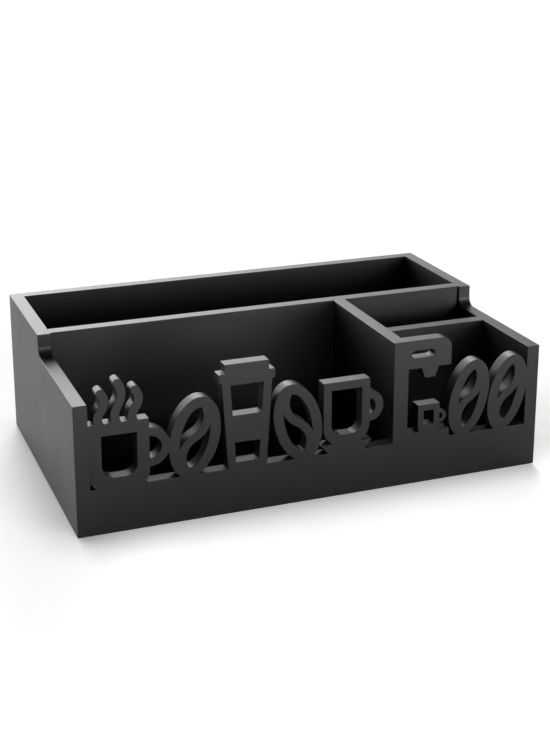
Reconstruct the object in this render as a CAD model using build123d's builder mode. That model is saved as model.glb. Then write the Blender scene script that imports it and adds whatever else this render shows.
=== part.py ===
from build123d import *
import os
from math import cos, radians, sin, sqrt, tan

# Countertop coffee station organizer: an open-topped box of painted 10 mm boards. A tall bay
# runs along the back. In front of it the side panels step down, and a cross divider and a
# short divider part the space into one wide bay and two small ones. The front panel is a low
# rail that carries a sawn fretwork of cups and beans.
#
# Lengths are in millimetres. The origin is the middle of the footprint, on the worktop. The
# front faces -Y, and Z points up.

# Boards: the walls round the back bay are tall, and the side panels step down beside the
# front bays
board = 10.0
tall_height = 113.0
step_height = 16.0

# Bays, measured between the faces of the boards
main_bay_width = 228.5
small_bay_width = 101.5
back_bay_depth = 89.0
front_bay_depth = 103.0
small_front_bay_depth = 59.5

# Side panels: the tall part stands a little proud of the long divider, above a cove
divider_set_back = 2.0
cove_radius = 7.0

# Base panel, let into a pocket round the lower edges of the walls
base_thickness = 5.0
base_lap = 5.0
base_fit = 0.2
router_radius = 3.0

# Housings, the shallow grooves that hold the ends of the dividers
housing_depth = 3.0

# Dowels, partly in the face of one board and the rest in the end of the other
dowel_radius = 2.5
dowel_face_depth = 6.0
dowel_end_depth = 14.0
dowel_fit = 0.05
dowel_end_gap = 0.5

# Countersunk screws that hold the base to the dividers
screw_radius = 1.5
screw_head_radius = 3.0
screw_head_angle = 90.0
screw_length = 20.0
screw_fit = 0.05
screw_end_gap = 1.0

# Square non-slip pads under the corners
pad_size = 16.0
pad_thickness = 1.0
pad_inset = 26.0

# Fretwork
rail_height = 34.4
short_motif_height = 92.0
stroke = 9.0
thin_stroke = 6.5
root = 2.0

# Heights and places as shares of the board that they follow
rail_dowel_shares = (0.36, 0.76)
tall_dowel_shares = (0.25, 0.75)
long_screw_shares = (0.1, 0.5, 0.9)
cross_screw_share = 0.5
short_screw_share = 0.5

# Faces and levels that follow from the sizes above
overall_length = main_bay_width + small_bay_width + 3 * board
overall_depth = back_bay_depth + front_bay_depth + 3 * board
wall_bottom = pad_thickness
tall_top = wall_bottom + tall_height
low_top = tall_top - step_height
floor_top = wall_bottom + base_thickness
rail_top = wall_bottom + rail_height
left_outer = -overall_length / 2
left_inner = left_outer + board
right_outer = overall_length / 2
right_inner = right_outer - board
front_outer = -overall_depth / 2
front_inner = front_outer + board
back_outer = overall_depth / 2
back_inner = back_outer - board
long_back = back_inner - back_bay_depth
long_front = long_back - board
step = long_front - divider_set_back
cross_right = right_inner - small_bay_width
cross_left = cross_right - board
short_front = front_inner + small_front_bay_depth
short_back = short_front + board
front_middle = front_outer + board / 2
back_middle = back_outer - board / 2
long_middle = long_back - board / 2
cross_middle = cross_right - board / 2
short_middle = short_back - board / 2
screw_head_depth = (screw_head_radius - screw_radius) / tan(radians(screw_head_angle / 2))

RIGHTWARD = (1, 0, 0)
LEFTWARD = (-1, 0, 0)
REARWARD = (0, 1, 0)
FORWARD = (0, -1, 0)
DOWNWARD = (0, 0, -1)
FROM_CORNER = (Align.MIN, Align.MIN)
FROM_BELOW = (Align.CENTER, Align.MIN)
FROM_LOW_CORNER = (Align.MIN, Align.MIN, Align.MIN)
STANDING = (Align.CENTER, Align.CENTER, Align.MIN)


def block(left, right, front, back, bottom, top, mode=Mode.ADD):
    """A rectangular board, or a cut, between six faces."""
    with Locations((left, front, bottom)):
        Box(right - left, back - front, top - bottom, align=FROM_LOW_CORNER, mode=mode)


def base_pocket():
    """Cuts the pocket for the base out of a wall, with the corner that a router leaves."""
    with BuildSketch(Plane.XY.offset(wall_bottom)) as pocket:
        RectangleRounded(
            overall_length - 2 * (board - base_lap),
            overall_depth - 2 * (board - base_lap),
            router_radius,
        )
    extrude(pocket.sketch, amount=base_thickness, mode=Mode.SUBTRACT)


def facing(points, direction):
    """Places at the points that face a direction, so that a hole there goes the other way."""
    return [Plane(origin=point, z_dir=direction).location for point in points]


def opposite(direction):
    """The direction turned round."""
    return tuple(-part for part in direction)


# Dowelled joints: the points where the boards meet, and the way from the board whose face is
# drilled towards the board whose end is drilled
rail_dowel_heights = [wall_bottom + share * rail_height for share in rail_dowel_shares]
tall_dowel_heights = [wall_bottom + share * tall_height for share in tall_dowel_shares]
dowel_joints = {
    "front_left": ([(left_inner, front_middle, z) for z in rail_dowel_heights], RIGHTWARD),
    "front_right": ([(right_inner, front_middle, z) for z in rail_dowel_heights], LEFTWARD),
    "back_left": ([(left_inner, back_middle, z) for z in tall_dowel_heights], RIGHTWARD),
    "back_right": ([(right_inner, back_middle, z) for z in tall_dowel_heights], LEFTWARD),
    "cross_front": ([(cross_middle, front_inner, z) for z in tall_dowel_heights], REARWARD),
}


def drill_faces(*joints):
    """Drills the dowel holes that a board has in its face."""
    for joint in joints:
        points, way = dowel_joints[joint]
        with Locations(*facing(points, way)):
            Hole(dowel_radius + dowel_fit, dowel_face_depth + dowel_end_gap)


def drill_ends(*joints):
    """Drills the dowel holes that a board has in its end."""
    for joint in joints:
        points, way = dowel_joints[joint]
        with Locations(*facing(points, opposite(way))):
            Hole(dowel_radius + dowel_fit, dowel_end_depth + dowel_end_gap)


# Screws, on the underside of the base
inner_length = right_inner - left_inner
screw_points = {
    "long_divider_screws": [
        (left_inner + share * inner_length, long_middle, wall_bottom)
        for share in long_screw_shares
    ],
    "cross_divider_screw": [
        (cross_middle, front_inner + cross_screw_share * front_bay_depth, wall_bottom)
    ],
    "short_divider_screw": [
        (cross_right + short_screw_share * small_bay_width, short_middle, wall_bottom)
    ],
}


def drill_pilots(screws):
    """Drills the pilot holes for some screws in a divider's lower edge."""
    with Locations(*facing(screw_points[screws], DOWNWARD)):
        Hole(screw_radius + screw_fit, screw_length + screw_end_gap)


# Base panel
with BuildPart() as base_panel:
    with BuildSketch(Plane.XY.offset(wall_bottom)):
        RectangleRounded(
            overall_length - 2 * (board - base_lap + base_fit),
            overall_depth - 2 * (board - base_lap + base_fit),
            router_radius,
        )
    extrude(amount=base_thickness)
    for points in screw_points.values():
        with Locations(*facing(points, DOWNWARD)):
            CounterSinkHole(
                screw_radius + screw_fit,
                screw_head_radius + screw_fit,
                base_thickness,
                screw_head_angle,
            )


def side_blank(lower_face):
    """A side panel's board: tall beside the back bay, then a cove down to the low part."""
    with BuildSketch(Plane.YZ.offset(lower_face)) as profile:
        with BuildLine():
            cove = RadiusArc(
                (step - cove_radius, low_top), (step, low_top + cove_radius), -cove_radius
            )
            Polyline(
                cove @ 1,
                (step, tall_top),
                (back_outer, tall_top),
                (back_outer, wall_bottom),
                (front_outer, wall_bottom),
                (front_outer, low_top),
                cove @ 0,
            )
        make_face()
    extrude(profile.sketch, amount=board)


def housing(left, right, front, back, top):
    """A groove, from the floor up, that holds the end of a divider."""
    block(left, right, front, back, floor_top, top, mode=Mode.SUBTRACT)


# Ends of the dividers, in their housings
long_left_end = left_inner - housing_depth
long_right_end = right_inner + housing_depth
cross_back_end = long_front + housing_depth
short_left_end = cross_right - housing_depth
short_right_end = right_inner + housing_depth

# Side panels
with BuildPart() as left_side_panel:
    side_blank(left_outer)
    base_pocket()
    drill_faces("front_left", "back_left")
    housing(long_left_end, left_inner, long_front, long_back, tall_top)

with BuildPart() as right_side_panel:
    side_blank(right_inner)
    base_pocket()
    drill_faces("front_right", "back_right")
    housing(right_inner, long_right_end, long_front, long_back, tall_top)
    housing(right_inner, short_right_end, short_front, short_back, low_top)

# Back panel
with BuildPart() as back_panel:
    block(left_inner, right_inner, back_inner, back_outer, wall_bottom, tall_top)
    base_pocket()
    drill_ends("back_left", "back_right")

# Long divider, the front wall of the back bay
with BuildPart() as long_divider:
    block(long_left_end, long_right_end, long_front, long_back, floor_top, tall_top)
    housing(cross_left, cross_right, long_front, cross_back_end, tall_top)
    drill_pilots("long_divider_screws")

# Cross divider, from the long divider to the front panel
with BuildPart() as cross_divider:
    block(cross_left, cross_right, front_inner, cross_back_end, floor_top, tall_top)
    housing(short_left_end, cross_right, short_front, short_back, low_top)
    drill_ends("cross_front")
    drill_pilots("cross_divider_screw")

# Short divider, between the two small bays
with BuildPart() as short_divider:
    block(short_left_end, short_right_end, short_front, short_back, floor_top, low_top)
    drill_pilots("short_divider_screw")


# Fretwork motifs. Each is drawn on the rail's top edge, from its own left end, and reaches a
# root's depth into the rail.
tall_rise = tall_top - rail_top
short_rise = wall_bottom + short_motif_height - rail_top


def wave(foot, rise, sway):
    """A round-ended stroke that sways one way and back as it climbs."""
    x, y = foot
    with BuildLine(mode=Mode.PRIVATE) as path:
        SagittaArc((x, y), (x, y + rise / 2), sway)
        SagittaArc((x, y + rise / 2), (x, y + rise), -sway)
    SlotArc(path.wire(), thin_stroke)


# Steaming mug
mug_handle_reach = 15.0
mug_handle_share = 0.37
mug_body_share = 0.6
mug_corner_share = 0.25
mug_window_corner_share = 0.34
steam_place_shares = (0.22, 0.5, 0.78)
steam_rise_shares = (0.8, 1.0, 0.8)
steam_sway = 2.4


def steaming_mug(width):
    """A straight mug with a round handle and three wisps of steam."""
    body_width = width - mug_handle_reach
    body_rise = mug_body_share * tall_rise
    window_width = body_width - 2 * stroke
    steam_rise = tall_rise - body_rise
    handle_half = mug_handle_share * tall_rise / 2
    with BuildSketch() as motif:
        with Locations((body_width, body_rise / 2 + root)):
            Ellipse(mug_handle_reach, handle_half)
            Ellipse(
                mug_handle_reach - thin_stroke, handle_half - thin_stroke, mode=Mode.SUBTRACT
            )
        with BuildSketch(mode=Mode.PRIVATE) as body:
            with Locations((0, -root)):
                Rectangle(body_width, body_rise + root, align=FROM_CORNER)
            fillet(body.vertices().group_by(Axis.Y)[0], mug_corner_share * body_width)
        add(body.sketch)
        with BuildSketch(mode=Mode.PRIVATE) as window:
            with Locations((stroke, stroke - root)):
                Rectangle(window_width, body_rise + root - 2 * stroke, align=FROM_CORNER)
            fillet(
                window.vertices().group_by(Axis.Y)[0], mug_window_corner_share * window_width
            )
        add(window.sketch, mode=Mode.SUBTRACT)
        for place_share, rise_share in zip(steam_place_shares, steam_rise_shares):
            foot = (place_share * body_width, body_rise - thin_stroke / 2)
            wave(foot, rise_share * steam_rise, steam_sway)
    return motif.sketch


# Coffee bean
bean_tilt = 14.0
bean_stroke = 8.0
crease_sway_share = 0.16


def bean(width, lean=1):
    """A leaning bean: an oval ring with an S-shaped crease down its middle."""
    slope = radians(bean_tilt)
    across = width / 2
    up = (short_rise + root) / 2
    spread = sqrt(cos(slope) ** 2 - sin(slope) ** 2)
    half_width = sqrt((across * cos(slope)) ** 2 - (up * sin(slope)) ** 2) / spread
    half_length = sqrt((up * cos(slope)) ** 2 - (across * sin(slope)) ** 2) / spread
    sway = lean * crease_sway_share * width
    with BuildSketch(mode=Mode.PRIVATE) as upright:
        Ellipse(half_width, half_length)
        Ellipse(half_width - bean_stroke, half_length - bean_stroke, mode=Mode.SUBTRACT)
        with BuildLine(mode=Mode.PRIVATE) as crease:
            SagittaArc((0, -half_length + bean_stroke / 2), (0, 0), sway)
            SagittaArc((0, 0), (0, half_length - bean_stroke / 2), -sway)
        SlotArc(crease.wire(), thin_stroke)
    with BuildSketch() as motif:
        with Locations(Location((across, up - root), -lean * bean_tilt)):
            add(upright.sketch)
    return motif.sketch


def bean_leaning_left(width):
    """The same bean, leaning the other way."""
    return bean(width, lean=-1)


# To-go cup
cup_lid_rise = 7.0
cup_foot_share = 0.7
cup_shoulder_share = 0.9
cup_cap_share = 0.78
sleeve_low_share = 0.3
sleeve_high_share = 0.62


def lidded_cup(width):
    """A tapered cup with a sleeve and a stepped lid."""
    body_top = tall_rise - 2 * cup_lid_rise
    middle = width / 2

    def half_width(height):
        """Half the cup's width at a height."""
        share = height / body_top
        return middle * (cup_foot_share + (cup_shoulder_share - cup_foot_share) * share)

    def slice_of_cup(low, high, inset):
        """The part of the cup's outline between two heights, drawn in from its sides."""
        with BuildLine(mode=Mode.PRIVATE) as outline:
            Polyline(
                (middle - half_width(low) + inset, low),
                (middle + half_width(low) - inset, low),
                (middle + half_width(high) - inset, high),
                (middle - half_width(high) + inset, high),
                close=True,
            )
        return make_face(outline.edges(), mode=Mode.PRIVATE)

    with BuildSketch() as motif:
        add(slice_of_cup(-root, body_top, 0))
        with Locations((middle, body_top)):
            Rectangle(width, cup_lid_rise, align=FROM_BELOW)
            Rectangle(cup_cap_share * width, 2 * cup_lid_rise, align=FROM_BELOW)
        add(
            slice_of_cup(stroke / 2, sleeve_low_share * body_top, thin_stroke),
            mode=Mode.SUBTRACT,
        )
        add(
            slice_of_cup(sleeve_high_share * body_top, body_top - root, thin_stroke),
            mode=Mode.SUBTRACT,
        )
    return motif.sketch


# Small cup on a saucer
saucer_rise = 7.0
saucer_foot_share = 0.26
bowl_middle_share = 0.41
bowl_half_share = 0.37
bowl_drop = 3.0
bowl_corner_share = 0.8
bowl_handle_height_share = 0.6
bowl_handle_half = 12.0


def bowl_outline(half, low, high, corner):
    """A cup's outline: upright at the rim, with large round corners below."""
    with BuildSketch(mode=Mode.PRIVATE) as outline:
        with Locations((0, low)):
            Rectangle(2 * half, high - low, align=FROM_BELOW)
        fillet(outline.vertices().group_by(Axis.Y)[0], corner)
    return outline.sketch


def cup_and_saucer(width):
    """A round-bottomed cup with a handle, on a saucer."""
    middle = bowl_middle_share * width
    half = bowl_half_share * width
    rim = short_rise - bowl_drop
    corner = bowl_corner_share * half
    handle_reach = width - middle - half
    with BuildSketch() as motif:
        with Locations((middle + half, bowl_handle_height_share * rim)):
            Ellipse(handle_reach, bowl_handle_half)
            Ellipse(
                handle_reach - thin_stroke, bowl_handle_half - thin_stroke, mode=Mode.SUBTRACT
            )
        with Locations((middle, 0)):
            add(bowl_outline(half, saucer_rise - root, rim, corner))
            add(
                bowl_outline(
                    half - thin_stroke,
                    saucer_rise + thin_stroke,
                    rim - thin_stroke,
                    corner - thin_stroke,
                ),
                mode=Mode.SUBTRACT,
            )
        with BuildSketch(mode=Mode.PRIVATE) as saucer:
            with BuildLine():
                Polyline(
                    (middle - saucer_foot_share * width, -root),
                    (middle + saucer_foot_share * width, -root),
                    (2 * middle, saucer_rise),
                    (0, saucer_rise),
                    close=True,
                )
            make_face()
        add(saucer.sketch)
    return motif.sketch


# Coffee machine, whose column covers the end of the cross divider
column_cover = 2.0
head_rise = 22.0
head_corner = 8.0
head_slot_length_share = 0.4
head_slot_rise = 6.0
tray_rise = 6.5
spout_rise = 8.0
spout_top_share = 0.34
spout_tip_share = 0.18

# The little cup on the machine's tray
small_cup_width = 18.0
small_cup_rise = 21.0
small_cup_stroke = 5.0
small_cup_corner = 6.0
small_cup_handle = 5.5
small_cup_handle_stroke = 3.2


def small_cup():
    """The little cup, standing on zero with its middle there."""
    with BuildSketch() as cup:
        with Locations((small_cup_width / 2, small_cup_rise / 2)):
            Circle(small_cup_handle)
            Circle(small_cup_handle - small_cup_handle_stroke, mode=Mode.SUBTRACT)
        add(bowl_outline(small_cup_width / 2, -root, small_cup_rise, small_cup_corner))
        with Locations((0, small_cup_stroke)):
            Rectangle(
                small_cup_width - 2 * small_cup_stroke,
                small_cup_rise - 2 * small_cup_stroke,
                align=FROM_BELOW,
                mode=Mode.SUBTRACT,
            )
    return cup.sketch


def coffee_machine(width):
    """A coffee machine: column, head with a slot, spout, tray and the cup below the spout."""
    column = board + column_cover
    bay_middle = (column + width) / 2
    head_low = tall_rise - head_rise
    with BuildSketch() as motif:
        with Locations((0, head_low)):
            Rectangle(width, head_rise, align=FROM_CORNER)
        right_end = motif.vertices().group_by(Axis.X)[-1]
        fillet(right_end.sort_by(Axis.Y)[-1], head_corner)
        with Locations((width / 2, head_low + head_rise / 2)):
            SlotOverall(head_slot_length_share * width, head_slot_rise, mode=Mode.SUBTRACT)
        with Locations((0, -root)):
            Rectangle(column, tall_rise + root, align=FROM_CORNER)
            Rectangle(width, tray_rise + root, align=FROM_CORNER)
        with BuildLine(mode=Mode.PRIVATE) as spout:
            Polyline(
                (bay_middle - spout_top_share * width / 2, head_low + root),
                (bay_middle + spout_top_share * width / 2, head_low + root),
                (bay_middle + spout_tip_share * width / 2, head_low - spout_rise),
                (bay_middle - spout_tip_share * width / 2, head_low - spout_rise),
                close=True,
            )
        make_face(spout.edges())
        with Locations((bay_middle, tray_rise)):
            add(small_cup())
    return motif.sketch


# Places of the motifs, as shares of the two stretches of rail: from the left side panel to
# the cross divider's left face, and from there to the right side panel
left_stretch_shares = {
    steaming_mug: [(0.0, 0.254)],
    bean: [(0.248, 0.416)],
    lidded_cup: [(0.41, 0.594)],
    bean_leaning_left: [(0.588, 0.754)],
    cup_and_saucer: [(0.748, 0.965)],
}
right_stretch_shares = {
    coffee_machine: [(0.0, 0.42)],
    bean: [(0.41, 0.715), (0.705, 1.005)],
}


def carve(start, end, motif_shares):
    """Adds the motifs that stand on a stretch of the rail."""
    for motif, places in motif_shares.items():
        for low_share, high_share in places:
            with Locations((start + low_share * (end - start), rail_top)):
                add(motif((high_share - low_share) * (end - start)))


with BuildSketch(Plane.XZ.offset(-front_outer)) as front_outline:
    carve(left_inner, cross_left, left_stretch_shares)
    carve(cross_left, right_inner, right_stretch_shares)
    with Locations((left_inner, wall_bottom)):
        Rectangle(inner_length, rail_height, align=FROM_CORNER)
        Rectangle(inner_length, tall_height, align=FROM_CORNER, mode=Mode.INTERSECT)

# Front panel, sawn from one board
with BuildPart() as front_panel:
    extrude(front_outline.sketch, amount=-board)
    base_pocket()
    drill_ends("front_left", "front_right")
    drill_faces("cross_front")

pieces = {
    "base_panel": base_panel,
    "left_side_panel": left_side_panel,
    "right_side_panel": right_side_panel,
    "back_panel": back_panel,
    "front_panel": front_panel,
    "long_divider": long_divider,
    "cross_divider": cross_divider,
    "short_divider": short_divider,
}

# Dowels, a group for each joint
for joint, (points, way) in dowel_joints.items():
    with BuildPart() as dowels:
        with Locations(*facing(points, way)):
            with Locations((0, 0, -dowel_face_depth)):
                Cylinder(dowel_radius, dowel_face_depth + dowel_end_depth, align=STANDING)
    pieces[f"{joint}_dowels"] = dowels

# One screw, head down
with BuildPart() as screw:
    with BuildSketch(Plane.XZ):
        with BuildLine():
            Polyline(
                (0, 0),
                (screw_head_radius, 0),
                (screw_radius, screw_head_depth),
                (screw_radius, screw_length),
                (0, screw_length),
                close=True,
            )
        make_face()
    revolve(axis=Axis.Z)

# Screws, a group for each divider
for name, points in screw_points.items():
    with BuildPart() as screws:
        with Locations(*points):
            add(screw.part)
    pieces[name] = screws

# Non-slip pads
for end, y in (("front", front_outer + pad_inset), ("rear", back_outer - pad_inset)):
    for side, x in (("left", left_outer + pad_inset), ("right", right_outer - pad_inset)):
        with BuildPart() as pad:
            with Locations((x, y, 0)):
                Box(pad_size, pad_size, pad_thickness, align=STANDING)
        pieces[f"pad_{end}_{side}"] = pad

os.makedirs("parts", exist_ok=True)
for name, piece in pieces.items():
    piece.part.label = name
    export_step(piece.part, f"parts/{name}.step")
    print(name, len(piece.part.solids()), "solids", round(piece.part.volume), "mm3")
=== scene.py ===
# %% [markdown]
# # A black coffee station organizer
#
# The real object is an open box of 10 mm boards, sprayed satin black. A tall bay runs along
# the back, three lower bays lie in front of it, and the front panel carries a sawn fretwork
# of cups and beans. Nothing on it moves.
#
# The construction comes ready made as a frame of CAD pieces. This script gives the boards
# their broken edges and their paint, makes the small fasteners and pads, and then lights and
# photographs the result. It could have started from plain cubes, but then every joint and
# groove would have to be measured again.

# %% Load the frame
from math import cos, pi, radians, sin

import bmesh
import bpy
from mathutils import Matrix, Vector
from mathutils.bvhtree import BVHTree


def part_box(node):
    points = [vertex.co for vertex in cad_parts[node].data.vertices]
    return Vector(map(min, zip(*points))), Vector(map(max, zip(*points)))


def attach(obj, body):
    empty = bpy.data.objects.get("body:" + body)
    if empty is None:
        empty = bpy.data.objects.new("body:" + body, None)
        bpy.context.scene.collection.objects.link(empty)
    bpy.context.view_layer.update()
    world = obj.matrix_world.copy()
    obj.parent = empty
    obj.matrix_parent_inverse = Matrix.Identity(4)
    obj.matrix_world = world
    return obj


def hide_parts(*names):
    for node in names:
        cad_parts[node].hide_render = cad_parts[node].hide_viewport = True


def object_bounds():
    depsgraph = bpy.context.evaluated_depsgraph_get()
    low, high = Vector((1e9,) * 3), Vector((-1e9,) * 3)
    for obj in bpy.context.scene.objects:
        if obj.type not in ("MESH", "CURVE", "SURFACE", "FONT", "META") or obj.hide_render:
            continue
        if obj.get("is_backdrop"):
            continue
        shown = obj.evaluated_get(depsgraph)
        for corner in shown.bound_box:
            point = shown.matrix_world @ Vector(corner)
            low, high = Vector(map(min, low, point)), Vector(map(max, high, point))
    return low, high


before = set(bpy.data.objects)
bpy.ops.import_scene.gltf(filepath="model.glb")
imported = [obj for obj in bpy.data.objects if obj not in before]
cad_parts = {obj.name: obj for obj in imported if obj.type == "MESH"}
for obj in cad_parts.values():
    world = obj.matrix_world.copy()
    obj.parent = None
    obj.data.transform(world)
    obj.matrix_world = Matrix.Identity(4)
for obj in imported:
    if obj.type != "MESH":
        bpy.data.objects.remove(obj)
cad_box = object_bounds()
MM = 0.001
print("CAD pieces:", len(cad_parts))

# %% [markdown]
# ## The camera
#
# The photograph was taken from the front left, a little over a metre away and well above the
# box. A camera could be placed by eye. Here it stands where the corners of the box line up with
# the corners in the photograph. Its line of sight passes just over the box, and the lens is
# shifted to bring the box near the middle of the picture. Tilting the camera further would do
# that as well, but it would change how much the uprights lean.

# %% Camera
PHOTO_HEIGHT = 733
FOCAL_PIXELS = 1402.67
CAMERA_PLACE = Vector((-365.64, -979.68, 444.59)) * MM
CAMERA_TURN = radians(20.863)
CAMERA_DIP = radians(16.15)
SENSOR = 36.0
LENS_SHIFT = -0.125

camera_data = bpy.data.cameras.new("photo_camera")
camera_data.sensor_width = SENSOR
camera_data.lens = FOCAL_PIXELS / PHOTO_HEIGHT * SENSOR
camera_data.shift_y = LENS_SHIFT
camera = bpy.data.objects.new("photo_camera", camera_data)
camera.location = CAMERA_PLACE
line_of_sight = Vector(
    (
        sin(CAMERA_TURN) * cos(CAMERA_DIP),
        cos(CAMERA_TURN) * cos(CAMERA_DIP),
        -sin(CAMERA_DIP),
    )
)
camera.rotation_mode = "QUATERNION"
camera.rotation_quaternion = line_of_sight.to_track_quat("-Z", "Y")
bpy.context.scene.collection.objects.link(camera)
bpy.context.scene.camera = camera
print("Lens:", round(camera_data.lens, 2), "mm")

# %% [markdown]
# ## Helpers for shader nodes
#
# Every material below is a small network. Writing out each node and link takes four lines,
# so short helpers do it: one makes a node and sets its values, one does a step of arithmetic,
# one makes noise, and two more make a group with named sockets and put it to use.


# %% Node helpers
def add_node(tree, kind, inputs=(), **settings):
    """A node with its settings and inputs; an input may be a value or a socket."""
    node = tree.nodes.new(kind)
    for name, value in settings.items():
        setattr(node, name, value)
    for name, value in dict(inputs).items():
        if isinstance(value, bpy.types.NodeSocket):
            tree.links.new(value, node.inputs[name])
        else:
            node.inputs[name].default_value = value
    return node


def reckon(tree, operation, first, second=0.0):
    """One step of arithmetic on numbers or sockets."""
    return add_node(tree, "ShaderNodeMath", {0: first, 1: second}, operation=operation).outputs[0]


def add_noise(tree, vector, scale, detail, roughness, distortion=0.0):
    """Noise from 0 to 1 on the given coordinates, with scale blots to a metre."""
    noise = add_node(
        tree,
        "ShaderNodeTexNoise",
        {
            "Vector": vector,
            "Scale": scale,
            "Detail": detail,
            "Roughness": roughness,
            "Distortion": distortion,
        },
    )
    return noise.outputs["Fac"]


def new_group(name, inputs, outputs):
    """A shader node group with named sockets, each given as its name, type and default."""
    group = bpy.data.node_groups.new(name, "ShaderNodeTree")
    for label, kind, default in inputs:
        socket = group.interface.new_socket(label, in_out="INPUT", socket_type=kind)
        socket.default_value = default
    for label, kind in outputs:
        group.interface.new_socket(label, in_out="OUTPUT", socket_type=kind)
    return group, group.nodes.new("NodeGroupInput"), group.nodes.new("NodeGroupOutput")


def use_group(tree, group, inputs):
    """Places a group in a material with its own values."""
    return add_node(tree, "ShaderNodeGroup", inputs, node_tree=group)


FLOAT = "NodeSocketFloat"
VECTOR = "NodeSocketVector"

# %% [markdown]
# ## Orange peel
#
# Sprayed paint dries with a fine stipple, called orange peel, and on the wide tops of the
# boards it breaks the reflection of the lights into a faint sparkle. It could be drawn into
# the colour, but then it would not move with the light. So it is a height, from fine noise,
# with coarse noise beside it for slow, cloudy changes. All the materials use the two.

# %% Orange peel group
peel, peel_in, peel_out = new_group(
    "orange_peel",
    [("Vector", VECTOR, (0, 0, 0)), ("Size", FLOAT, 1 * MM), ("Cloud size", FLOAT, 50 * MM)],
    [("Height", FLOAT), ("Cloud", FLOAT)],
)
for size, output, detail, roughness in (
    ("Size", "Height", 2.0, 0.55),
    ("Cloud size", "Cloud", 3.0, 0.5),
):
    scale = reckon(peel, "DIVIDE", 1.0, peel_in.outputs[size])
    blots = add_noise(peel, peel_in.outputs["Vector"], scale, detail, roughness)
    peel.links.new(blots, peel_out.inputs[output])
print("Orange peel nodes:", len(peel.nodes))

# %% [markdown]
# ## Wood figure
#
# Under the paint the boards still have a grain, which shows as very faint streaks along each
# board, and the beech dowels show theirs plainly. Stretched noise gives both: the coordinates
# are squeezed along the grain, so that each blot becomes a long fibre. The wider bands are the
# same noise at a larger size.

# %% Wood figure group
BANDS_PER_FIBRE = 0.12

figure, figure_in, figure_out = new_group(
    "wood_figure",
    [("Vector", VECTOR, (0, 0, 0)), ("Stretch", VECTOR, (1, 1, 1)), ("Fibre", FLOAT, 1 * MM)],
    [("Fibres", FLOAT), ("Bands", FLOAT)],
)
squeezed = add_node(
    figure,
    "ShaderNodeVectorMath",
    {0: figure_in.outputs["Vector"], 1: figure_in.outputs["Stretch"]},
    operation="MULTIPLY",
).outputs[0]
fibre_scale = reckon(figure, "DIVIDE", 1.0, figure_in.outputs["Fibre"])
band_scale = reckon(figure, "MULTIPLY", fibre_scale, BANDS_PER_FIBRE)
fibres = add_noise(figure, squeezed, fibre_scale, detail=4.0, roughness=0.6)
bands = add_noise(figure, squeezed, band_scale, detail=2.0, roughness=0.5, distortion=0.4)
figure.links.new(fibres, figure_out.inputs["Fibres"])
figure.links.new(bands, figure_out.inputs["Bands"])
print("Wood figure nodes:", len(figure.nodes))

# %% [markdown]
# ## What the materials share
#
# Every surface here starts from the Principled shader and from places on the piece itself.
# Nothing real has one even colour or one even gloss, so each also drifts between two values.


# %% Material helpers
def new_surface(name):
    """A material with its tree, its Principled shader and its coordinates."""
    material = bpy.data.materials.new(name)
    material.use_nodes = True
    tree = material.node_tree
    place = add_node(tree, "ShaderNodeTexCoord").outputs["Object"]
    return material, tree, tree.nodes["Principled BSDF"], place


def mix_colours(tree, share, first, second):
    """A colour between two, by a share from 0 to 1."""
    mixed = add_node(
        tree, "ShaderNodeMix", {"Factor": share, "A": first, "B": second}, data_type="RGBA"
    )
    return mixed.outputs["Result"]


def set_roughness(tree, shader, share, limits):
    """Drives a shader's roughness between its limits, by a share from 0 to 1."""
    spread = add_node(
        tree, "ShaderNodeMapRange", {"Value": share, "To Min": limits[0], "To Max": limits[1]}
    )
    tree.links.new(spread.outputs["Result"], shader.inputs["Roughness"])


# %% [markdown]
# ## Black paint
#
# The paint is nearly black itself. What the photograph shows as grey is the soft lights in its
# satin surface, strongest where the line of sight is shallow, as on the tops and the left
# side. So the base colour stays dark and the Principled shader's own reflection does the
# work. Spray lands drier in some spots than in others, which changes the gloss both finely and
# in clouds. Along the broken edges the colour is a little lighter, a painted highlight where the
# rounds catch the light; the boards carry an attribute that marks the rounds.


# %% Black paint
def black_paint(name, stretch):
    """Satin black paint over a board whose grain runs along the least stretched axis."""
    material, tree, shader, place = new_surface(name)
    skin = use_group(tree, peel, {"Vector": place, "Size": PEEL_SIZE, "Cloud size": CLOUD_SIZE})
    stipple, cloud = skin.outputs["Height"], skin.outputs["Cloud"]
    grain = use_group(tree, figure, {"Vector": place, "Stretch": stretch, "Fibre": FIBRE_SIZE})
    # Painted highlight: the rounded edges get a lighter colour, as if they caught the light.
    highlight_rim = add_node(tree, "ShaderNodeAttribute", attribute_name="highlight_rim")
    tone = mix_colours(tree, cloud, PAINT_DARK, PAINT_LIGHT)
    highlighted_edge_tone = mix_colours(tree, highlight_rim.outputs["Fac"], tone, PAINT_RIM_HIGHLIGHT)
    tree.links.new(highlighted_edge_tone, shader.inputs["Base Color"])
    dry_spray = add_node(tree, "ShaderNodeMix", {"Factor": SPRAY_SHARE, "A": cloud, "B": stipple})
    set_roughness(tree, shader, dry_spray.outputs["Result"], PAINT_ROUGHNESS)
    peel_bump = add_node(
        tree, "ShaderNodeBump", {"Height": stipple, "Strength": 1.0, "Distance": PEEL_HEIGHT}
    )
    grain_bump = add_node(
        tree,
        "ShaderNodeBump",
        {
            "Height": grain.outputs["Fibres"],
            "Strength": 1.0,
            "Distance": GRAIN_HEIGHT,
            "Normal": peel_bump.outputs["Normal"],
        },
    )
    tree.links.new(grain_bump.outputs["Normal"], shader.inputs["Normal"])
    shader.inputs["IOR"].default_value = PAINT_IOR
    return material


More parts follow.
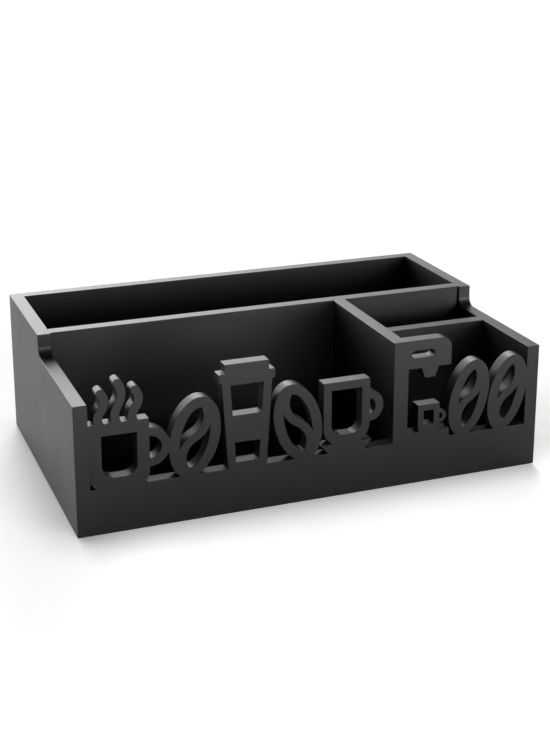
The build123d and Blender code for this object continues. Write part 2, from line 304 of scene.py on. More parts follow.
PEEL_SIZE = 1.2 * MM
PEEL_HEIGHT = 0.12 * MM
CLOUD_SIZE = 45 * MM
FIBRE_SIZE = 0.9 * MM
GRAIN_HEIGHT = 0.015 * MM
PAINT_DARK = (0.002, 0.002, 0.0021, 1)
PAINT_LIGHT = (0.004, 0.004, 0.0042, 1)
# The colour of the painted highlight on the rounded edges.
PAINT_RIM_HIGHLIGHT = (0.008, 0.008, 0.008, 1)
PAINT_ROUGHNESS = (0.24, 0.6)
SPRAY_SHARE = 0.8
PAINT_IOR = 1.35
ALONG_X = (0.03, 1, 1)
ALONG_Y = (1, 0.03, 1)

paint_along_x = black_paint("black_paint_long_boards", ALONG_X)
paint_along_y = black_paint("black_paint_cross_boards", ALONG_Y)
print("Paint roughness:", PAINT_ROUGHNESS)

# %% [markdown]
# ## Bare beech
#
# The dowels are bare beech: pale, with darker flecks that run with the grain. A picture of wood
# could be wrapped round them, but it would smear over their ends. Here the wood figure picks
# between two colours, so the grain runs right through the dowel. Some dowels point sideways and
# some rearward, so there is one material for each direction.


# %% Beech
def bare_beech(name, stretch):
    """Pale beech with its grain along the dowel and small darker flecks."""
    material, tree, shader, place = new_surface(name)
    grain = use_group(tree, figure, {"Vector": place, "Stretch": stretch, "Fibre": FIBRE_SIZE})
    wood = add_node(tree, "ShaderNodeValToRGB", {"Fac": grain.outputs["Fibres"]})
    for step, colour, position in zip(wood.color_ramp.elements, BEECH_COLOURS, BEECH_STEPS):
        step.color = colour
        step.position = position
    tree.links.new(wood.outputs["Color"], shader.inputs["Base Color"])
    set_roughness(tree, shader, grain.outputs["Bands"], BEECH_ROUGHNESS)
    return material


BEECH_COLOURS = ((0.42, 0.25, 0.13, 1), (0.66, 0.46, 0.28, 1))
BEECH_STEPS = (0.3, 0.7)
BEECH_ROUGHNESS = (0.55, 0.75)

beech_along_x = bare_beech("bare_beech_sideways", ALONG_X)
beech_along_y = bare_beech("bare_beech_rearward", ALONG_Y)
print("Beech roughness:", BEECH_ROUGHNESS)

# %% [markdown]
# ## Zinc plate
#
# The screws are plated with zinc, which starts bright and slightly blue and soon gets a dull
# bloom. A metal with one colour and one gloss would look like chrome. So the same clouds as in
# the paint mix a bright and a dull grey here, and change the gloss with them.


# %% Zinc
def zinc_plate():
    """Zinc plating: bright, slightly blue, with the cloudy bloom that it soon gets."""
    material, tree, shader, place = new_surface("zinc_plate")
    skin = use_group(tree, peel, {"Vector": place, "Cloud size": BLOOM_SIZE})
    cloud = skin.outputs["Cloud"]
    bloom = mix_colours(tree, cloud, ZINC_BRIGHT, ZINC_DULL)
    tree.links.new(bloom, shader.inputs["Base Color"])
    set_roughness(tree, shader, cloud, ZINC_ROUGHNESS)
    shader.inputs["Metallic"].default_value = 1.0
    return material


BLOOM_SIZE = 2 * MM
ZINC_BRIGHT = (0.72, 0.73, 0.76, 1)
ZINC_DULL = (0.5, 0.51, 0.53, 1)
ZINC_ROUGHNESS = (0.25, 0.5)

zinc = zinc_plate()
print("Zinc roughness:", ZINC_ROUGHNESS)

# %% [markdown]
# ## Black rubber
#
# The pads are matte black rubber with a fine pebble, a little dusty. The pebble could be
# modelled, but it is about half a millimetre wide and only breaks up the shine, and a bump does
# that as well.


# %% Rubber
def black_rubber():
    """Matte rubber with a fine pebble, a little dusty."""
    material, tree, shader, place = new_surface("black_rubber")
    skin = use_group(tree, peel, {"Vector": place, "Size": PEBBLE_SIZE, "Cloud size": DUST_SIZE})
    stipple, cloud = skin.outputs["Height"], skin.outputs["Cloud"]
    dust = mix_colours(tree, cloud, RUBBER_CLEAN, RUBBER_DUSTY)
    tree.links.new(dust, shader.inputs["Base Color"])
    set_roughness(tree, shader, cloud, RUBBER_ROUGHNESS)
    bump = add_node(
        tree, "ShaderNodeBump", {"Height": stipple, "Strength": 1.0, "Distance": PEBBLE_HEIGHT}
    )
    tree.links.new(bump.outputs["Normal"], shader.inputs["Normal"])
    return material


PEBBLE_SIZE = 0.6 * MM
PEBBLE_HEIGHT = 0.05 * MM
DUST_SIZE = 6 * MM
RUBBER_CLEAN = (0.018, 0.018, 0.018, 1)
RUBBER_DUSTY = (0.05, 0.049, 0.047, 1)
RUBBER_ROUGHNESS = (0.7, 0.9)

rubber = black_rubber()
print("Rubber roughness:", RUBBER_ROUGHNESS)

# %% [markdown]
# ## The boards
#
# Eight boards make the box. They could be drawn again in Blender, but the CAD pieces have the
# right shape already, only with every face cut into triangles. So each copy is first cleaned:
# corners in the same place are merged, and the triangles of a flat face are dissolved into one
# face. That leaves only the edges that the real board has.

# %% Board meshes
BOARD_PAINT = {
    "base_panel": paint_along_x,
    "left_side_panel": paint_along_y,
    "right_side_panel": paint_along_y,
    "back_panel": paint_along_x,
    "front_panel": paint_along_x,
    "long_divider": paint_along_x,
    "cross_divider": paint_along_y,
    "short_divider": paint_along_x,
}
MERGE = 0.001 * MM
FLAT_ANGLE = radians(1)


def clean_solid(node):
    """A CAD piece's triangles, merged and dissolved into whole faces."""
    solid = bmesh.new()
    solid.from_mesh(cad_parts[node].data)
    bmesh.ops.remove_doubles(solid, verts=solid.verts, dist=MERGE)
    bmesh.ops.dissolve_limit(
        solid, angle_limit=FLAT_ANGLE, verts=solid.verts, edges=solid.edges
    )
    return solid


solids = {node: clean_solid(node) for node in BOARD_PAINT}
surfaces = {node: BVHTree.FromBMesh(solid) for node, solid in solids.items()}
for node, solid in solids.items():
    print(node, "faces:", len(solid.faces), "open edges:", sum(e.is_boundary for e in solid.edges))

# %% [markdown]
# ## Broken edges
#
# A sanded board never has a razor edge: a few strokes of paper break it, and that narrow round
# is what catches the light along the tops. The boards were painted after assembly, so where two
# of them meet flush there is no such round and no seam. A Bevel modifier on every board would
# cut a groove into each flush joint. So every edge is tested against the other boards, and only
# those that touch nothing are rounded.

# %% Find the free edges
SHARP_ANGLE = radians(30)
TOUCH = 0.3 * MM
PROBE_SHARES = (0.1, 0.3, 0.5, 0.7, 0.9)


def free_edges(node):
    """The sharp edges of a board that touch no other board."""
    others = [tree for other, tree in surfaces.items() if other != node]
    free = []
    for edge in solids[node].edges:
        if len(edge.link_faces) != 2 or edge.calc_face_angle() < SHARP_ANGLE:
            continue
        start, end = (vertex.co for vertex in edge.verts)
        probes = [start.lerp(end, share) for share in PROBE_SHARES]
        if not any(tree.find_nearest(probe, TOUCH)[0] for tree in others for probe in probes):
            free.append(edge)
    return free


print("Free edges of the front panel:", len(free_edges("front_panel")))

# %% Break them and finish the boards
EDGE_ROUND = 0.45 * MM
ROUND_SEGMENTS = 3
ROUND_PROFILE = 0.5


def break_edges(node):
    """Rounds a board's free edges and marks the rounds for the painted highlight."""
    solid = solids[node]
    highlight_rim = solid.verts.layers.float.new("highlight_rim")
    rounds = bmesh.ops.bevel(
        solid,
        geom=free_edges(node),
        offset=EDGE_ROUND,
        segments=ROUND_SEGMENTS,
        profile=ROUND_PROFILE,
        affect="EDGES",
        clamp_overlap=False,
    )
    for vertex in rounds["verts"]:
        vertex[highlight_rim] = 1.0
    return len(rounds["faces"])


def finished_board(node, paint):
    """The board's own object, smooth along its curves, in place of the CAD piece."""
    mesh = bpy.data.meshes.new(node + "_painted")
    solids[node].to_mesh(mesh)
    mesh.polygons.foreach_set("use_smooth", [True] * len(mesh.polygons))
    mesh.set_sharp_from_angle(angle=SHARP_ANGLE)
    mesh.materials.append(paint)
    board = bpy.data.objects.new(node + "_painted", mesh)
    bpy.context.scene.collection.objects.link(board)
    weigh = board.modifiers.new("flat_faces_lead", "WEIGHTED_NORMAL")
    weigh.keep_sharp = True
    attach(board, "root")
    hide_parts(node)
    return board


for node, paint in BOARD_PAINT.items():
    rounds = break_edges(node)
    board = finished_board(node, paint)
    print(board.name, "round faces:", rounds, "faces:", len(board.data.polygons))

# %% [markdown]
# ## Helpers for geometry nodes
#
# Screws, dowels and pads repeat, so each kind is designed once, as a Geometry Nodes tree, and
# copied onto points. They could be modelled by hand and duplicated, but a tree keeps its
# sizes as named inputs, so a longer screw or a finer thread is one number.


# %% Geometry helpers
def new_design(name, inputs):
    """A geometry tree that takes points, named sizes and a material."""
    tree = bpy.data.node_groups.new(name, "GeometryNodeTree")
    sockets = tree.interface
    sockets.new_socket("Points", in_out="INPUT", socket_type="NodeSocketGeometry")
    for label, kind in inputs:
        sockets.new_socket(label, in_out="INPUT", socket_type=kind)
    sockets.new_socket("Material", in_out="INPUT", socket_type="NodeSocketMaterial")
    sockets.new_socket("Mesh", in_out="OUTPUT", socket_type="NodeSocketGeometry")
    return tree, tree.nodes.new("NodeGroupInput"), tree.nodes.new("NodeGroupOutput")


def copy_to_points(tree, given, result, shape, turn=(0, 0, 0)):
    """The end of every design: a copy on each point, made real, with its material."""
    copies = add_node(
        tree,
        "GeometryNodeInstanceOnPoints",
        {"Points": given.outputs["Points"], "Instance": shape, "Rotation": turn},
    )
    real = add_node(
        tree, "GeometryNodeRealizeInstances", {"Geometry": copies.outputs["Instances"]}
    )
    finished = add_node(
        tree,
        "GeometryNodeSetMaterial",
        {"Geometry": real.outputs["Geometry"], "Material": given.outputs["Material"]},
    )
    tree.links.new(finished.outputs["Geometry"], result.inputs["Mesh"])


# %% [markdown]
# ## From a design to a piece
#
# A modifier on the points would show the fittings, but only as long as it stays there. A
# finished piece is plain mesh, which can be cleaned, smoothed by angle and exported. So the
# design runs once on its points, its result is kept, and the object that made it is removed.


# %% Making the fittings
def make_fittings(node, points, design, values):
    """Runs a design on its points and puts the plain mesh in place of the CAD node."""
    seeds = bpy.data.meshes.new(node + "_points")
    seeds.from_pydata([tuple(point) for point in points], [], [])
    maker = bpy.data.objects.new(node + "_maker", seeds)
    bpy.context.scene.collection.objects.link(maker)
    modifier = maker.modifiers.new("design", "NODES")
    modifier.node_group = design
    for socket in design.interface.items_tree:
        if socket.name in values:
            modifier[socket.identifier] = values[socket.name]
    shaped = maker.evaluated_get(bpy.context.evaluated_depsgraph_get())
    mesh = bpy.data.meshes.new_from_object(shaped)
    bpy.data.objects.remove(maker)
    solid = bmesh.new()
    solid.from_mesh(mesh)
    bmesh.ops.remove_doubles(solid, verts=solid.verts, dist=MERGE)
    bmesh.ops.recalc_face_normals(solid, faces=solid.faces)
    solid.to_mesh(mesh)
    open_edges = sum(edge.is_boundary for edge in solid.edges)
    solid.free()
    mesh.polygons.foreach_set("use_smooth", [True] * len(mesh.polygons))
    mesh.set_sharp_from_angle(angle=SHARP_ANGLE)
    piece = bpy.data.objects.new(node + "_finished", mesh)
    bpy.context.scene.collection.objects.link(piece)
    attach(piece, "root")
    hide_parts(node)
    print(piece.name, "faces:", len(mesh.polygons), "open edges:", open_edges)
    return piece


# %% [markdown]
# ## The screw heads
#
# Five countersunk wood screws come up through the floor into the dividers. Only their heads
# show, from below: a flat disc with a cross recess. The head could be turned from a drawn
# outline, but it is a plain cone under its disc, so a cone does. Two crossed blocks and a
# pointed tip cut the recess out of it with a Boolean, much as the punch does in the factory.

# %% Screw head
HEAD_SIDES = 48

screw_design, given, result = new_design(
    "countersunk_screws",
    [
        ("Head radius", FLOAT),
        ("Head depth", FLOAT),
        ("Recess", FLOAT),
        ("Shank radius", FLOAT),
        ("Core radius", FLOAT),
        ("Length", FLOAT),
        ("Pitch", FLOAT),
        ("Point", FLOAT),
    ],
)
head = add_node(
    screw_design,
    "GeometryNodeMeshCone",
    {
        "Vertices": HEAD_SIDES,
        "Radius Top": given.outputs["Shank radius"],
        "Radius Bottom": given.outputs["Head radius"],
        "Depth": given.outputs["Head depth"],
    },
)
print("Sides of the screw head:", HEAD_SIDES)

# %% Cross recess
TIP_SIDES = 24

# The four below are shares of the recess's width.
SLOT_WIDTH = 0.24
SLOT_DEPTH = 0.6
TIP_RADIUS = 0.3
TIP_DEPTH = 0.42

recess = given.outputs["Recess"]
slot_width = reckon(screw_design, "MULTIPLY", recess, SLOT_WIDTH)
slot_depth = reckon(screw_design, "MULTIPLY", recess, SLOT_DEPTH)
cutters = []
for length, width in ((recess, slot_width), (slot_width, recess)):
    block_size = add_node(
        screw_design, "ShaderNodeCombineXYZ", {"X": length, "Y": width, "Z": slot_depth}
    )
    block = add_node(screw_design, "GeometryNodeMeshCube", {"Size": block_size.outputs[0]})
    cutters.append(block)
tip = add_node(
    screw_design,
    "GeometryNodeMeshCone",
    {
        "Vertices": TIP_SIDES,
        "Radius Top": 0.0,
        "Radius Bottom": reckon(screw_design, "MULTIPLY", recess, TIP_RADIUS),
        "Depth": reckon(screw_design, "MULTIPLY", recess, TIP_DEPTH),
    },
)
cutters.append(tip)
cut_head = add_node(
    screw_design,
    "GeometryNodeMeshBoolean",
    {"Mesh 1": head.outputs["Mesh"]},
    operation="DIFFERENCE",
    solver="EXACT",
)
for cutter in cutters:
    screw_design.links.new(cutter.outputs["Mesh"], cut_head.inputs["Mesh 2"])
print("Cutters in the screw head:", len(cutters))

# %% [markdown]
# ## The thread
#
# A thread could be a coil joined to a rod, but then the two never quite meet. So the shank is a
# flat grid rolled into a tube, and its radius follows a rule: it swells wherever the height
# matches the turn, which winds a ridge round it.

# %% Screw thread
ROUND_STEPS = 21
HEIGHT_STEPS = 121
SHANK_START = 0.9  # of the head's depth

sheet = add_node(
    screw_design,
    "GeometryNodeMeshGrid",
    {"Size X": 1.0, "Size Y": 1.0, "Vertices X": ROUND_STEPS, "Vertices Y": HEIGHT_STEPS},
)
spot = add_node(screw_design, "GeometryNodeInputPosition")
flat = add_node(screw_design, "ShaderNodeSeparateXYZ", {0: spot.outputs[0]})
turn = reckon(screw_design, "ADD", flat.outputs["X"], 0.5)
rise = reckon(screw_design, "ADD", flat.outputs["Y"], 0.5)
hidden = reckon(screw_design, "MULTIPLY", given.outputs["Head depth"], SHANK_START)
run = reckon(screw_design, "SUBTRACT", given.outputs["Length"], hidden)
height = reckon(screw_design, "ADD", hidden, reckon(screw_design, "MULTIPLY", rise, run))
turns_up = reckon(screw_design, "DIVIDE", height, given.outputs["Pitch"])
wound = reckon(screw_design, "FRACT", reckon(screw_design, "SUBTRACT", turns_up, turn))
doubled = reckon(screw_design, "MULTIPLY", wound, 2.0)
zigzag = reckon(screw_design, "ABSOLUTE", reckon(screw_design, "SUBTRACT", doubled, 1.0))
narrowed = reckon(screw_design, "SUBTRACT", reckon(screw_design, "MULTIPLY", zigzag, 2.0), 1.0)
ridge = reckon(screw_design, "MAXIMUM", narrowed, 0.0)
core = given.outputs["Core radius"]
thread_height = reckon(screw_design, "SUBTRACT", given.outputs["Shank radius"], core)
threaded = reckon(
    screw_design, "ADD", core, reckon(screw_design, "MULTIPLY", ridge, thread_height)
)
print("Faces rolled into each shank:", (ROUND_STEPS - 1) * (HEIGHT_STEPS - 1))

# %% [markdown]
# ## The point
#
# The shank ends in a point and starts closed, inside the head. A cone could be joined on, but
# it would cut the thread off. Here both ends are one more factor on the same radius, so the
# thread fades out into the point as it does on a real screw.

# %% Screw point and assembly
FULL_TURN = 2 * pi

left_to_go = reckon(screw_design, "SUBTRACT", given.outputs["Length"], height)
taper = reckon(
    screw_design,
    "MINIMUM",
    reckon(screw_design, "DIVIDE", left_to_go, given.outputs["Point"]),
    1.0,
)
closed_start = reckon(
    screw_design, "MINIMUM", reckon(screw_design, "MULTIPLY", rise, HEIGHT_STEPS - 1), 1.0
)
radius = reckon(
    screw_design, "MULTIPLY", threaded, reckon(screw_design, "MULTIPLY", taper, closed_start)
)
angle = reckon(screw_design, "MULTIPLY", turn, FULL_TURN)
rolled = add_node(
    screw_design,
    "ShaderNodeCombineXYZ",
    {
        "X": reckon(screw_design, "MULTIPLY", radius, reckon(screw_design, "COSINE", angle)),
        "Y": reckon(screw_design, "MULTIPLY", radius, reckon(screw_design, "SINE", angle)),
        "Z": height,
    },
)
shank = add_node(
    screw_design,
    "GeometryNodeSetPosition",
    {"Geometry": sheet.outputs["Mesh"], "Position": rolled.outputs[0]},
)
whole_screw = add_node(screw_design, "GeometryNodeJoinGeometry")
screw_design.links.new(cut_head.outputs["Mesh"], whole_screw.inputs[0])
screw_design.links.new(shank.outputs["Geometry"], whole_screw.inputs[0])
copy_to_points(screw_design, given, result, whole_screw.outputs[0])
print("Screw design nodes:", len(screw_design.nodes))

# %% [markdown]
# ## Driving the screws
#
# The long divider is held by three screws and the other two by one each. Their places could be
# written out, but the CAD boxes hold them already: the outer heads touch the ends of the box,
# and the third stands midway.

# %% Drive the screws
SCREW_SIZES = {
    "Head radius": 3 * MM,
    "Head depth": 1.5 * MM,
    "Recess": 3.2 * MM,
    "Shank radius": 1.5 * MM,
    "Core radius": 1.05 * MM,
    "Length": 20 * MM,
    "Pitch": 1.3 * MM,
    "Point": 3.5 * MM,
    "Material": zinc,
}
SCREW_COUNTS = {"long_divider_screws": 3, "cross_divider_screw": 1, "short_divider_screw": 1}


def screw_places(node, count):
    """The middles of the screw heads, read from the CAD node's box."""
    low, high = (Vector(corner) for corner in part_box(node))
    middle = (low + high) / 2
    reach = (high.x - low.x) / 2 - SCREW_SIZES["Head radius"]
    shares = [0.0] if count == 1 else [2 * step / (count - 1) - 1 for step in range(count)]
    return [Vector((middle.x + share * reach, middle.y, low.z)) for share in shares]


for node, count in SCREW_COUNTS.items():
    make_fittings(node, screw_places(node, count), screw_design, SCREW_SIZES)

# %% [markdown]
# ## The dowels
#
# Bought dowels are fluted along their length, to let the glue out, and chamfered at the ends,
# to find the hole. They could be cylinders with the flutes cut out one by one. Sweeping a
# fluted circle along a line, and scaling it down at both ends, makes the whole dowel at once.

# %% Dowel line and chamfer
DOWEL_STATIONS = 21

dowel_design, given, result = new_design(
    "fluted_dowels",
    [
        ("Radius", FLOAT),
        ("Length", FLOAT),
        ("Flutes", FLOAT),
        ("Flute depth", FLOAT),
        ("Chamfer", FLOAT),
        ("Direction", VECTOR),
    ],
)
far_end = add_node(dowel_design, "ShaderNodeCombineXYZ", {"Z": given.outputs["Length"]})
axis = add_node(dowel_design, "GeometryNodeCurvePrimitiveLine", {"End": far_end.outputs[0]})
stations = add_node(
    dowel_design,
    "GeometryNodeResampleCurve",
    {"Curve": axis.outputs["Curve"], "Count": DOWEL_STATIONS},
)
along = add_node(dowel_design, "GeometryNodeSplineParameter")
to_far_end = reckon(dowel_design, "SUBTRACT", given.outputs["Length"], along.outputs["Length"])
to_end = reckon(dowel_design, "MINIMUM", along.outputs["Length"], to_far_end)
short_by = reckon(
    dowel_design,
    "MAXIMUM",
    reckon(dowel_design, "SUBTRACT", given.outputs["Chamfer"], to_end),
    0.0,
)
narrowing = reckon(dowel_design, "DIVIDE", short_by, given.outputs["Radius"])
end_scale = reckon(dowel_design, "SUBTRACT", 1.0, narrowing)
print("Stations along a dowel:", DOWEL_STATIONS)

# %% Dowel flutes
DOWEL_SIDES = 96

outline = add_node(
    dowel_design,
    "GeometryNodeCurvePrimitiveCircle",
    {"Resolution": DOWEL_SIDES, "Radius": given.outputs["Radius"]},
)
spot = add_node(dowel_design, "GeometryNodeInputPosition")
flat = add_node(dowel_design, "ShaderNodeSeparateXYZ", {0: spot.outputs[0]})
bearing = reckon(dowel_design, "ARCTAN2", flat.outputs["Y"], flat.outputs["X"])
swing = reckon(
    dowel_design, "COSINE", reckon(dowel_design, "MULTIPLY", bearing, given.outputs["Flutes"])
)
groove = reckon(dowel_design, "MAXIMUM", swing, 0.0)
relative_depth = reckon(
    dowel_design, "DIVIDE", given.outputs["Flute depth"], given.outputs["Radius"]
)
groove_scale = reckon(
    dowel_design, "SUBTRACT", 1.0, reckon(dowel_design, "MULTIPLY", groove, relative_depth)
)
fluted_spot = add_node(
    dowel_design,
    "ShaderNodeVectorMath",
    {0: spot.outputs[0], "Scale": groove_scale},
    operation="SCALE",
)
fluted = add_node(
    dowel_design,
    "GeometryNodeSetPosition",
    {"Geometry": outline.outputs["Curve"], "Position": fluted_spot.outputs[0]},
)
print("Sides round a dowel:", DOWEL_SIDES)

# %% Dowel sweep
dowel = add_node(
    dowel_design,
    "GeometryNodeCurveToMesh",
    {
        "Curve": stations.outputs["Curve"],
        "Profile Curve": fluted.outputs["Geometry"],
        "Scale": end_scale,
        "Fill Caps": True,
    },
)
facing = add_node(
    dowel_design,
    "FunctionNodeAlignRotationToVector",
    {"Vector": given.outputs["Direction"]},
    axis="Z",
)
copy_to_points(dowel_design, given, result, dowel.outputs["Mesh"], facing.outputs["Rotation"])
print("Dowel design nodes:", len(dowel_design.nodes))

# %% [markdown]
# ## Fitting the dowels
#
# Each joint has two dowels, one over the other, blind in the boards: sideways at the four
# corners of the box, and rearward where the cross divider meets the front panel. As with the
# screws, the CAD boxes give their places.

# %% Fit the dowels
DOWEL_RADIUS = 2.5 * MM
DOWEL_SIZES = {
    "Radius": DOWEL_RADIUS,
    "Length": 20 * MM,
    "Flutes": 16.0,
    "Flute depth": 0.22 * MM,
    "Chamfer": 1 * MM,
}
SIDEWAYS = Vector((1, 0, 0))
REARWARD = Vector((0, 1, 0))
DOWEL_DIRECTIONS = {
    "front_left_dowels": (SIDEWAYS, beech_along_x),
    "front_right_dowels": (SIDEWAYS, beech_along_x),
    "back_left_dowels": (SIDEWAYS, beech_along_x),
    "back_right_dowels": (SIDEWAYS, beech_along_x),
    "cross_front_dowels": (REARWARD, beech_along_y),
}


def dowel_starts(node, direction):
    """The near ends of a joint's two dowels, one over the other."""
    low, high = (Vector(corner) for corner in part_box(node))
    across = Vector((1, 1, 1)) - direction
    start = low + across * DOWEL_RADIUS
    upper = start.copy()
    upper.z = high.z - DOWEL_RADIUS
    return [start, upper]


for node, (direction, wood) in DOWEL_DIRECTIONS.items():
    values = dict(DOWEL_SIZES, Direction=tuple(direction), Material=wood)
    make_fittings(node, dowel_starts(node, direction), dowel_design, values)

# %% [markdown]
# ## The pads
#
# Four square rubber pads, cut with round corners and pressed with a soft lower edge, keep the
# box off the worktop. A bevelled cube would do, but its corners and its lower edge need
# different rounds. The dowels' sweep gives both: a rounded square along one millimetre of
# height, drawn in at the bottom along a quarter circle.

# %% Pad line and soft edge
PAD_STATIONS = 11

pad_design, given, result = new_design(
    "rubber_pads",
    [("Size", FLOAT), ("Thickness", FLOAT), ("Corner", FLOAT), ("Soft edge", FLOAT)],
)
pad_top = add_node(pad_design, "ShaderNodeCombineXYZ", {"Z": given.outputs["Thickness"]})
axis = add_node(pad_design, "GeometryNodeCurvePrimitiveLine", {"End": pad_top.outputs[0]})
stations = add_node(
    pad_design,
    "GeometryNodeResampleCurve",
    {"Curve": axis.outputs["Curve"], "Count": PAD_STATIONS},
)
along = add_node(pad_design, "GeometryNodeSplineParameter")
edge = given.outputs["Soft edge"]
below_edge = reckon(
    pad_design, "MAXIMUM", reckon(pad_design, "SUBTRACT", edge, along.outputs["Length"]), 0.0
)
edge_squared = reckon(pad_design, "MULTIPLY", edge, edge)
left_over = reckon(
    pad_design, "SUBTRACT", edge_squared, reckon(pad_design, "MULTIPLY", below_edge, below_edge)
)
drawn_in = reckon(pad_design, "SUBTRACT", edge, reckon(pad_design, "SQRT", left_over))
half_size = reckon(pad_design, "DIVIDE", given.outputs["Size"], 2.0)
pad_scale = reckon(
    pad_design, "SUBTRACT", 1.0, reckon(pad_design, "DIVIDE", drawn_in, half_size)
)
print("Stations up a pad:", PAD_STATIONS)

# %% Pad outline and sweep
CORNER_STEPS = 8

square = add_node(
    pad_design,
    "GeometryNodeCurvePrimitiveQuadrilateral",
    {"Width": given.outputs["Size"], "Height": given.outputs["Size"]},
)
rounded = add_node(
    pad_design,
    "GeometryNodeFilletCurve",
    {
        "Curve": square.outputs["Curve"],
        "Count": CORNER_STEPS,
        "Radius": given.outputs["Corner"],
    },
    mode="POLY",
)
pad = add_node(
    pad_design,
    "GeometryNodeCurveToMesh",
    {
        "Curve": stations.outputs["Curve"],
        "Profile Curve": rounded.outputs["Curve"],
        "Scale": pad_scale,
        "Fill Caps": True,
    },
)
copy_to_points(pad_design, given, result, pad.outputs["Mesh"])
print("Pad design nodes:", len(pad_design.nodes))

# %% [markdown]
# ## Sticking the pads on
#
# The pads sit near the corners of the base. They could all be copied in one go, but each is a
# piece of its own in the CAD, so each is made on one point, the middle of its own box.

# %% Stick the pads on
PAD_SIZES = {
    "Size": 16 * MM,
    "Thickness": 1 * MM,
    "Corner": 2.5 * MM,
    "Soft edge": 0.4 * MM,
    "Material": rubber,
}
PADS = ["pad_front_left", "pad_front_right", "pad_rear_left", "pad_rear_right"]

for node in PADS:
    low, high = (Vector(corner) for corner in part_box(node))
    middle = (low + high) / 2
    middle.z = low.z
    make_fittings(node, [middle], pad_design, PAD_SIZES)

# %% [markdown]
# ## The glow of the paper
#
# The photograph is a plain studio shot on white paper. The white all round it is the work of a
# retoucher, who lightens the paper on the screen after the shot. So the paper here has a glow
# that only the camera sees. It starts at the box, where the contact shadow has to stay, and it
# adds no light to the box itself. A floor that really glowed would light the black sides from
# below, which the photograph doesn't show.

# %% Paper glow
# Where each glow starts and is full: in front of the middle, to its right, from the outline.
FRONT_GLOW = 0.67
FRONT_GLOW_START = 66 * MM
FRONT_GLOW_FULL = 153 * MM
LEFT_GLOW_START = -240 * MM
LEFT_GLOW_FULL = -120 * MM
FAR_GLOW = 0.12
FAR_GLOW_START = -10 * MM
FAR_GLOW_FULL = 45 * MM

BOX_HALF = Vector((cad_box[1][0], cad_box[1][1], 0))


def ramp(tree, value, start, full, top):
    """A smooth rise from nothing at start to top at full."""
    rise = add_node(
        tree,
        "ShaderNodeMapRange",
        {"Value": value, "From Min": start, "From Max": full, "To Min": 0.0, "To Max": top},
        interpolation_type="SMOOTHSTEP",
    )
    return rise.outputs["Result"]


def measure(tree, operation, first, second=(0, 0, 0)):
    """One step of arithmetic on places."""
    return add_node(tree, "ShaderNodeVectorMath", {0: first, 1: second}, operation=operation)


def paper_glow(tree, place):
    """The glow of the paper: in front of the box, and a little all round it."""
    spot = add_node(tree, "ShaderNodeSeparateXYZ", {0: place})
    forward = reckon(tree, "MULTIPLY", spot.outputs["Y"], -1.0)
    in_front = ramp(tree, forward, FRONT_GLOW_START, FRONT_GLOW_FULL, FRONT_GLOW)
    beside = ramp(tree, spot.outputs["X"], LEFT_GLOW_START, LEFT_GLOW_FULL, 1.0)
    mirrored = measure(tree, "ABSOLUTE", place)
    past = measure(tree, "SUBTRACT", mirrored.outputs[0], BOX_HALF)
    outside = measure(tree, "MAXIMUM", past.outputs[0])
    away = measure(tree, "LENGTH", outside.outputs[0]).outputs["Value"]
    far = ramp(tree, away, FAR_GLOW_START, FAR_GLOW_FULL, FAR_GLOW)
    return reckon(tree, "ADD", reckon(tree, "MULTIPLY", in_front, beside), far)


print("Paper glow:", FRONT_GLOW, "in front,", FAR_GLOW, "all round")

# %% [markdown]
# ## The floor
#
# The paper itself is matte and nearly white, with slow changes that the eye hardly sees. A
# curved backdrop is usual in a studio, but the horizon is outside the picture, so one flat
# sheet does, as long as it reaches well past the edges of the picture.

# %% Floor
FLOOR_SIZE = 14.0
PAPER_COLOURS = ((0.87, 0.87, 0.87, 1), (0.89, 0.89, 0.89, 1))
PAPER_ROUGHNESS = 0.9
PAPER_CLOUD = 400 * MM
WHITE = (1, 1, 1, 1)


def pale_floor():
    """Matte white paper with a glow that only the camera sees."""
    material, tree, shader, place = new_surface("pale_floor")
    skin = use_group(tree, peel, {"Vector": place, "Cloud size": PAPER_CLOUD})
    white = mix_colours(tree, skin.outputs["Cloud"], *PAPER_COLOURS)
    tree.links.new(white, shader.inputs["Base Color"])
    shader.inputs["Roughness"].default_value = PAPER_ROUGHNESS
    sight = add_node(tree, "ShaderNodeLightPath")
    seen_glow = reckon(tree, "MULTIPLY", paper_glow(tree, place), sight.outputs["Is Camera Ray"])
    tree.links.new(seen_glow, shader.inputs["Emission Strength"])
    shader.inputs["Emission Color"].default_value = WHITE
    return material


floor_mesh = bpy.data.meshes.new("floor")
half = FLOOR_SIZE / 2
floor_mesh.from_pydata(
    [(-half, -half, 0), (half, -half, 0), (half, half, 0), (-half, half, 0)], [], [(0, 1, 2, 3)]
)
floor_mesh.materials.append(pale_floor())
floor = bpy.data.objects.new("floor", floor_mesh)
bpy.context.scene.collection.objects.link(floor)
floor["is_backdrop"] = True
print("Floor:", FLOOR_SIZE, "m square")

# %% [markdown]
# ## A soft light
#
# A studio lights a black object with large soft boxes, and what the paint shows is their
# reflection. They could be lamps, but a lamp ends in a hard rim, and the satin paint would show
# that rim. So each is a soft patch of brightness on the walls of the world, given by its bearing
# from straight behind the box, its height and its spread.

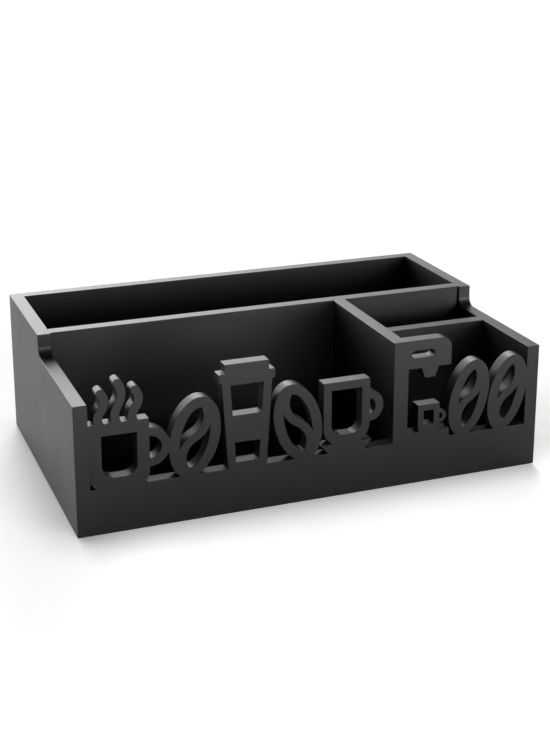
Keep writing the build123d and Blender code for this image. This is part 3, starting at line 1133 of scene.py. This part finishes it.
# %% Patch of light
patch, patch_in, patch_out = new_group(
    "soft_patch",
    [
        ("Direction", VECTOR, (0, 0, 1)),
        ("Bearing", FLOAT, 0.0),
        ("Rise", FLOAT, 0.0),
        ("Width", FLOAT, 1.0),
        ("Height", FLOAT, 1.0),
        ("Brightness", FLOAT, 1.0),
    ],
    [("Light", FLOAT)],
)
faced = add_node(
    patch,
    "ShaderNodeVectorRotate",
    {"Vector": patch_in.outputs["Direction"], "Angle": patch_in.outputs["Bearing"]},
    rotation_type="Z_AXIS",
)
parts = add_node(patch, "ShaderNodeSeparateXYZ", {0: faced.outputs[0]})
sideways = reckon(patch, "ARCTAN2", parts.outputs["X"], parts.outputs["Y"])
sideways = reckon(patch, "DIVIDE", sideways, patch_in.outputs["Width"])
upward = reckon(patch, "ARCSINE", parts.outputs["Z"])
upward = reckon(patch, "SUBTRACT", upward, patch_in.outputs["Rise"])
upward = reckon(patch, "DIVIDE", upward, patch_in.outputs["Height"])
from_middle = reckon(
    patch,
    "ADD",
    reckon(patch, "MULTIPLY", sideways, sideways),
    reckon(patch, "MULTIPLY", upward, upward),
)
fall_off = reckon(patch, "EXPONENT", reckon(patch, "MULTIPLY", from_middle, -1.0))
patch.links.new(
    reckon(patch, "MULTIPLY", fall_off, patch_in.outputs["Brightness"]), patch_out.inputs["Light"]
)
print("Soft patch nodes:", len(patch.nodes))

# %% [markdown]
# ## The four lights
#
# There is a high one and a low one behind the box, which gleam along the tops, one at the left,
# which greys the left side, and a low one at the front right. One wide light could give the
# tops their gleam, but the photograph shows a brighter left than right, which takes several.
# The camera sees plain white instead of them.

# %% World
# Bearing, rise, width and height in degrees, then brightness.
SOFT_LIGHTS = {
    "high_behind": (10, 38, 20, 15, 13.5),
    "low_behind": (-3, 3, 18, 14, 9.5),
    "left": (-46, 10, 30, 19, 8.6),
    "low_front_right": (154, 4, 16, 14, 17),
}
PAPER_WHITE = 1.0

world = bpy.data.worlds.new("white_room")
world.use_nodes = True
room = world.node_tree
gaze = add_node(room, "ShaderNodeTexCoord")
light = 0.0
for name, (bearing, rise, width, height, brightness) in SOFT_LIGHTS.items():
    soft_light = use_group(
        room,
        patch,
        {
            "Direction": gaze.outputs["Generated"],
            "Bearing": radians(bearing),
            "Rise": radians(rise),
            "Width": radians(width),
            "Height": radians(height),
            "Brightness": brightness,
        },
    )
    soft_light.label = name
    print("Light", name, "at", bearing, "degrees round and", rise, "up")
    light = reckon(room, "ADD", soft_light.outputs["Light"], light)
sight = add_node(room, "ShaderNodeLightPath")
walls = add_node(
    room,
    "ShaderNodeMix",
    {"Factor": sight.outputs["Is Camera Ray"], "A": light, "B": PAPER_WHITE},
)
room.nodes["Background"].inputs["Color"].default_value = WHITE
room.links.new(walls.outputs["Result"], room.nodes["Background"].inputs["Strength"])
bpy.context.scene.world = world
bpy.context.scene.view_settings.view_transform = "Standard"

# %% [markdown]
# ## The panel at floor height
#
# The front faces are a little lighter towards their tops than at the floor. Nothing on the
# walls does that, but a bright sheet on the floor under the camera does. It lies outside the
# picture, faces up and is lit evenly, so an area light does for it.

# %% Floor panel
PANEL_START = 0.61
PANEL_REACH = 6.5
PANEL_WIDTH = 14.0
PANEL_HEIGHT = 2 * MM
PANEL_RADIANCE = 4.2

panel_data = bpy.data.lights.new("floor_panel", "AREA")
panel_data.shape = "RECTANGLE"
panel_data.size = PANEL_WIDTH
panel_data.size_y = PANEL_REACH
panel_data.energy = PANEL_RADIANCE * pi * PANEL_WIDTH * PANEL_REACH
panel = bpy.data.objects.new("floor_panel", panel_data)
panel.location = (0, -PANEL_START - PANEL_REACH / 2, PANEL_HEIGHT)
panel.rotation_euler = (pi, 0, 0)
panel.visible_camera = False
bpy.context.scene.collection.objects.link(panel)
print("Floor panel:", round(panel_data.energy), "W")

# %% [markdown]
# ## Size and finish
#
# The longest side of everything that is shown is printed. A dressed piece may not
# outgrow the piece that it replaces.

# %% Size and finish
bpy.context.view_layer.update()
longest = max(high - low for low, high in zip(*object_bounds()))
print("Longest side of the dressed part:", round(longest / MM, 2), "mm")
